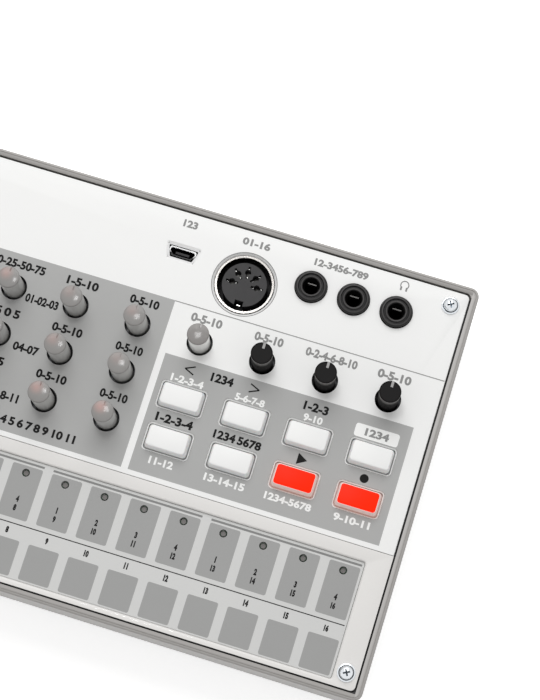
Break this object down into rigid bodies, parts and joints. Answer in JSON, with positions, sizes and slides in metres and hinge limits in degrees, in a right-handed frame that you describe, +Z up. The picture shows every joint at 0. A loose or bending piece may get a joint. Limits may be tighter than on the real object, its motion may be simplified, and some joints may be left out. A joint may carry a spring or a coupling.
{
  "type": "drum machine",
  "caption": "Flat battery-powered drum machine with a gridded knob panel, lit push buttons, a strip of touch keys, top sockets and a sliding battery cover.",
  "frame": {"origin": "middle of the footprint on the table, at the undersides of the feet", "axes": "+X to the player's right, +Y to the back, +Z up"},
  "size_m": [0.193, 0.115, 0.046],
  "materials": {
    "case_grey": "satin warm grey paint",
    "panel_white": "satin white with printed graphics",
    "frame_pearl": "satin pearl",
    "touch_print": "printed film",
    "circuit_board": "solder mask",
    "light_body": "clear resin",
    "chip_black": "moulded",
    "capacitor_sleeve": "shrink sleeve",
    "pot_steel": "plated",
    "switch_black": "moulded",
    "ribbon": "flexible flat cable",
    "connector_ivory": "moulded",
    "socket_black": "moulded",
    "contact_tin": "tinned",
    "bright_steel": "bright nickel",
    "display_black": "moulded",
    "red_window": "tinted acrylic",
    "paper_cone": "pressed pulp",
    "magnet": "ferrite",
    "cell_sleeve": "shrink sleeve",
    "lead_sleeve": "insulation",
    "foot_rubber": "matte",
    "dark_knob": "satin, ribbed side",
    "clear_knob": "frosted clear resin",
    "button_white": "satin translucent white",
    "button_red": "translucent, lit red"
  },
  "bodies": {
    "chassis": {"bottom_case": "case_grey", "top_panel": "panel_white", "key_frame": "frame_pearl", "touch_surface": "touch_print", "touch_board": "circuit_board", "step_lights": "light_body", "main_board": "circuit_board", "chips": "chip_black", "capacitors": "capacitor_sleeve", "potentiometers": "pot_steel", "tact_switches": "switch_black", "board_lights": "light_body", "ribbon_cable": "ribbon", "board_sockets": "connector_ivory", "jack_sockets": "socket_black", "socket_contacts": "contact_tin", "din_housing": "socket_black", "din_shield": "bright_steel", "usb_shell": "bright_steel", "usb_tongue": "socket_black", "dc_inlet": "socket_black", "digit_module": "display_black", "display_window": "red_window", "speaker_frame": "pot_steel", "speaker_cone": "paper_cone", "speaker_magnet": "magnet", "cells": "cell_sleeve", "contact_springs": "contact_tin", "contact_plates": "contact_tin", "inner_leads": "lead_sleeve", "panel_screws": "bright_steel", "small_screws": "bright_steel", "rubber_feet": "foot_rubber"},
    "tempo_knob": {"tempo_knob": "clear_knob"},
    "swing_knob": {"swing_knob": "dark_knob"},
    "room_knob": {"room_knob": "dark_knob"},
    "volume_knob": {"volume_knob": "dark_knob"},
    "bass_knob": {"bass_knob": "dark_knob"},
    "treble_knob": {"treble_knob": "dark_knob"},
    "start_knob": {"start_knob": "clear_knob"},
    "length_knob": {"length_knob": "clear_knob"},
    "cut_knob": {"cut_knob": "clear_knob"},
    "speed_knob": {"speed_knob": "clear_knob"},
    "pitch_amount_knob": {"pitch_amount_knob": "clear_knob"},
    "pitch_attack_knob": {"pitch_attack_knob": "clear_knob"},
    "pitch_decay_knob": {"pitch_decay_knob": "clear_knob"},
    "level_knob": {"level_knob": "clear_knob"},
    "pan_knob": {"pan_knob": "clear_knob"},
    "amp_attack_knob": {"amp_attack_knob": "clear_knob"},
    "amp_decay_knob": {"amp_decay_knob": "clear_knob"},
    "previous_button": {"previous_button": "button_white"},
    "next_button": {"next_button": "button_white"},
    "mute_button": {"mute_button": "button_white"},
    "shift_button": {"shift_button": "button_white"},
    "memory_button": {"memory_button": "button_white"},
    "mode_button": {"mode_button": "button_white"},
    "play_button": {"play_button": "button_red"},
    "record_button": {"record_button": "button_red"},
    "power_button": {"power_button": "button_white"},
    "battery_cover": {"battery_cover": "case_grey"}
  },
  "joints": [
    {"name": "tempo_turn", "type": "hinge", "parent": "chassis", "child": "tempo_knob", "pos_m": [0.02805, 0.0213, 0.03], "axis": [0, 0, -1], "range_deg": [-150, 150]},
    {"name": "swing_turn", "type": "hinge", "parent": "chassis", "child": "swing_knob", "pos_m": [0.04565, 0.0213, 0.03], "axis": [0, 0, -1], "range_deg": [-150, 150]},
    {"name": "room_turn", "type": "hinge", "parent": "chassis", "child": "room_knob", "pos_m": [0.06325, 0.0213, 0.03], "axis": [0, 0, -1], "range_deg": [-150, 150]},
    {"name": "volume_turn", "type": "hinge", "parent": "chassis", "child": "volume_knob", "pos_m": [0.08085, 0.0213, 0.03], "axis": [0, 0, -1], "range_deg": [-150, 150]},
    {"name": "bass_turn", "type": "hinge", "parent": "chassis", "child": "bass_knob", "pos_m": [-0.07755, -0.0057, 0.03], "axis": [0, 0, -1], "range_deg": [-150, 150]},
    {"name": "treble_turn", "type": "hinge", "parent": "chassis", "child": "treble_knob", "pos_m": [-0.05995, -0.0057, 0.03], "axis": [0, 0, -1], "range_deg": [-150, 150]},
    {"name": "start_turn", "type": "hinge", "parent": "chassis", "child": "start_knob", "pos_m": [-0.02475, 0.0213, 0.03], "axis": [0, 0, -1], "range_deg": [-150, 150]},
    {"name": "length_turn", "type": "hinge", "parent": "chassis", "child": "length_knob", "pos_m": [-0.00715, 0.0213, 0.03], "axis": [0, 0, -1], "range_deg": [-150, 150]},
    {"name": "cut_turn", "type": "hinge", "parent": "chassis", "child": "cut_knob", "pos_m": [0.01045, 0.0213, 0.03], "axis": [0, 0, -1], "range_deg": [-150, 150]},
    {"name": "speed_turn", "type": "hinge", "parent": "chassis", "child": "speed_knob", "pos_m": [-0.04235, 0.0078, 0.03], "axis": [0, 0, -1], "range_deg": [-150, 150]},
    {"name": "pitch_amount_turn", "type": "hinge", "parent": "chassis", "child": "pitch_amount_knob", "pos_m": [-0.02475, 0.0078, 0.03], "axis": [0, 0, -1], "range_deg": [-150, 150]},
    {"name": "pitch_attack_turn", "type": "hinge", "parent": "chassis", "child": "pitch_attack_knob", "pos_m": [-0.00715, 0.0078, 0.03], "axis": [0, 0, -1], "range_deg": [-150, 150]},
    {"name": "pitch_decay_turn", "type": "hinge", "parent": "chassis", "child": "pitch_decay_knob", "pos_m": [0.01045, 0.0078, 0.03], "axis": [0, 0, -1], "range_deg": [-150, 150]},
    {"name": "level_turn", "type": "hinge", "parent": "chassis", "child": "level_knob", "pos_m": [-0.04235, -0.0057, 0.03], "axis": [0, 0, -1], "range_deg": [-150, 150]},
    {"name": "pan_turn", "type": "hinge", "parent": "chassis", "child": "pan_knob", "pos_m": [-0.02475, -0.0057, 0.03], "axis": [0, 0, -1], "range_deg": [-150, 150]},
    {"name": "amp_attack_turn", "type": "hinge", "parent": "chassis", "child": "amp_attack_knob", "pos_m": [-0.00715, -0.0057, 0.03], "axis": [0, 0, -1], "range_deg": [-150, 150]},
    {"name": "amp_decay_turn", "type": "hinge", "parent": "chassis", "child": "amp_decay_knob", "pos_m": [0.01045, -0.0057, 0.03], "axis": [0, 0, -1], "range_deg": [-150, 150]},
    {"name": "previous_press", "type": "slide", "parent": "chassis", "child": "previous_button", "axis": [0, 0, -1], "range_m": [0, 0.0005], "stiffness_N_per_m": 300},
    {"name": "next_press", "type": "slide", "parent": "chassis", "child": "next_button", "axis": [0, 0, -1], "range_m": [0, 0.0005], "stiffness_N_per_m": 300},
    {"name": "mute_press", "type": "slide", "parent": "chassis", "child": "mute_button", "axis": [0, 0, -1], "range_m": [0, 0.0005], "stiffness_N_per_m": 300},
    {"name": "shift_press", "type": "slide", "parent": "chassis", "child": "shift_button", "axis": [0, 0, -1], "range_m": [0, 0.0005], "stiffness_N_per_m": 300},
    {"name": "memory_press", "type": "slide", "parent": "chassis", "child": "memory_button", "axis": [0, 0, -1], "range_m": [0, 0.0005], "stiffness_N_per_m": 300},
    {"name": "mode_press", "type": "slide", "parent": "chassis", "child": "mode_button", "axis": [0, 0, -1], "range_m": [0, 0.0005], "stiffness_N_per_m": 300},
    {"name": "play_press", "type": "slide", "parent": "chassis", "child": "play_button", "axis": [0, 0, -1], "range_m": [0, 0.0005], "stiffness_N_per_m": 300},
    {"name": "record_press", "type": "slide", "parent": "chassis", "child": "record_button", "axis": [0, 0, -1], "range_m": [0, 0.0005], "stiffness_N_per_m": 300},
    {"name": "power_press", "type": "slide", "parent": "chassis", "child": "power_button", "axis": [0, 0, -1], "range_m": [0, 0.0005], "stiffness_N_per_m": 300},
    {"name": "cover_slide", "type": "slide", "parent": "chassis", "child": "battery_cover", "axis": [0, -1, 0], "range_m": [0, 0.058]}
  ]
}
